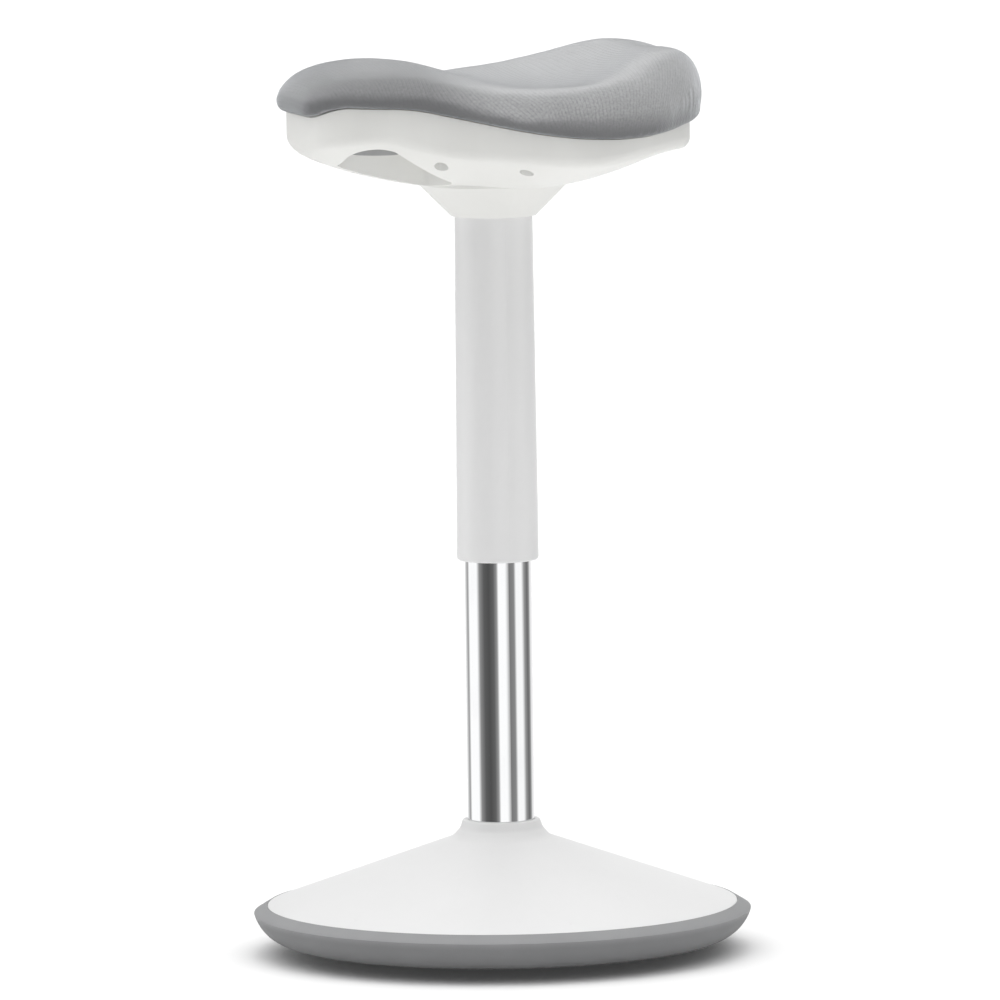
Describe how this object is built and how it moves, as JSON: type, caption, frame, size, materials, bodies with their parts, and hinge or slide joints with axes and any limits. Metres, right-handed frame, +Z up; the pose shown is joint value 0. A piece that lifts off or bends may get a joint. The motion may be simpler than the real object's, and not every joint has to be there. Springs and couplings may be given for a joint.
{
  "type": "tilting stool",
  "caption": "Height adjustable stool with a padded saddle seat on a gas lift column, over a weighted round base with a domed sole that lets the whole stool rock.",
  "frame": {"origin": "centre of the flat patch of the sole, on the floor and on the column's axis", "axes": "+Z up along the column, -Y towards the seat's nose, +X to the left of a person who sits facing the nose"},
  "size_m": [0.372, 0.372, 0.6781],
  "materials": {
    "rim_rubber": "matt moulded rubber",
    "pan_plastic": "moulded",
    "cast_iron": "as cast",
    "zinc_steel": "zinc plated",
    "mild_steel": "machined",
    "white_plastic": "satin moulded",
    "chrome": "polished",
    "acetal": "machined",
    "black_rubber": "moulded",
    "black_paint": "satin black",
    "alloy": "turned",
    "plywood": "sanded",
    "lever_plastic": "moulded",
    "grey_knit": "knitted"
  },
  "bodies": {
    "base": {"rocker_sole": "rim_rubber", "base_pan": "pan_plastic", "counterweight": "cast_iron", "pan_screws": "zinc_steel", "socket_hub": "mild_steel", "weight_bolts": "zinc_steel", "base_cover": "white_plastic", "cover_screws": "zinc_steel", "column_tube": "chrome", "tube_end_plate": "mild_steel", "guide_bush": "acetal", "lower_race": "mild_steel"},
    "rod": {"piston_rod": "chrome", "thrust_ring": "acetal", "upper_race": "mild_steel", "bump_stop": "black_rubber", "retaining_clip": "mild_steel", "piston": "alloy", "piston_seal": "black_rubber"},
    "seat": {"gas_cylinder": "black_paint", "cylinder_gland": "acetal", "outer_sleeve": "white_plastic", "sleeve_guide": "acetal", "seat_plate": "mild_steel", "plate_spacers": "mild_steel", "plate_bolts": "zinc_steel", "seat_board": "plywood", "seat_shell": "white_plastic", "shell_screws": "zinc_steel", "lever_pin": "mild_steel", "cushion": "grey_knit"},
    "lever": {"release_lever": "lever_plastic"},
    "valve": {"valve_pin": "mild_steel"}
  },
  "joints": [
    {"name": "swivel", "type": "hinge", "parent": "base", "child": "rod", "pos_m": [0, 0, 0.035], "axis": [0, 0, 1], "continuous": true},
    {"name": "height", "type": "slide", "parent": "rod", "child": "seat", "axis": [0, 0, 1], "range_m": [-0.095, 0.14]},
    {"name": "release", "type": "hinge", "parent": "seat", "child": "lever", "pos_m": [0, -0.044, 0.599], "axis": [-1, 0, 0], "range_deg": [0, 5]},
    {"name": "valve_press", "type": "slide", "parent": "seat", "child": "valve", "axis": [0, 0, -1], "range_m": [0, 0.0041], "stiffness_N_per_m": 60, "springref_m": -0.008}
  ],
  "couplings": [
    {"joint": "release", "follows": "valve_press", "rad_per_m": 21.28}
  ]
}
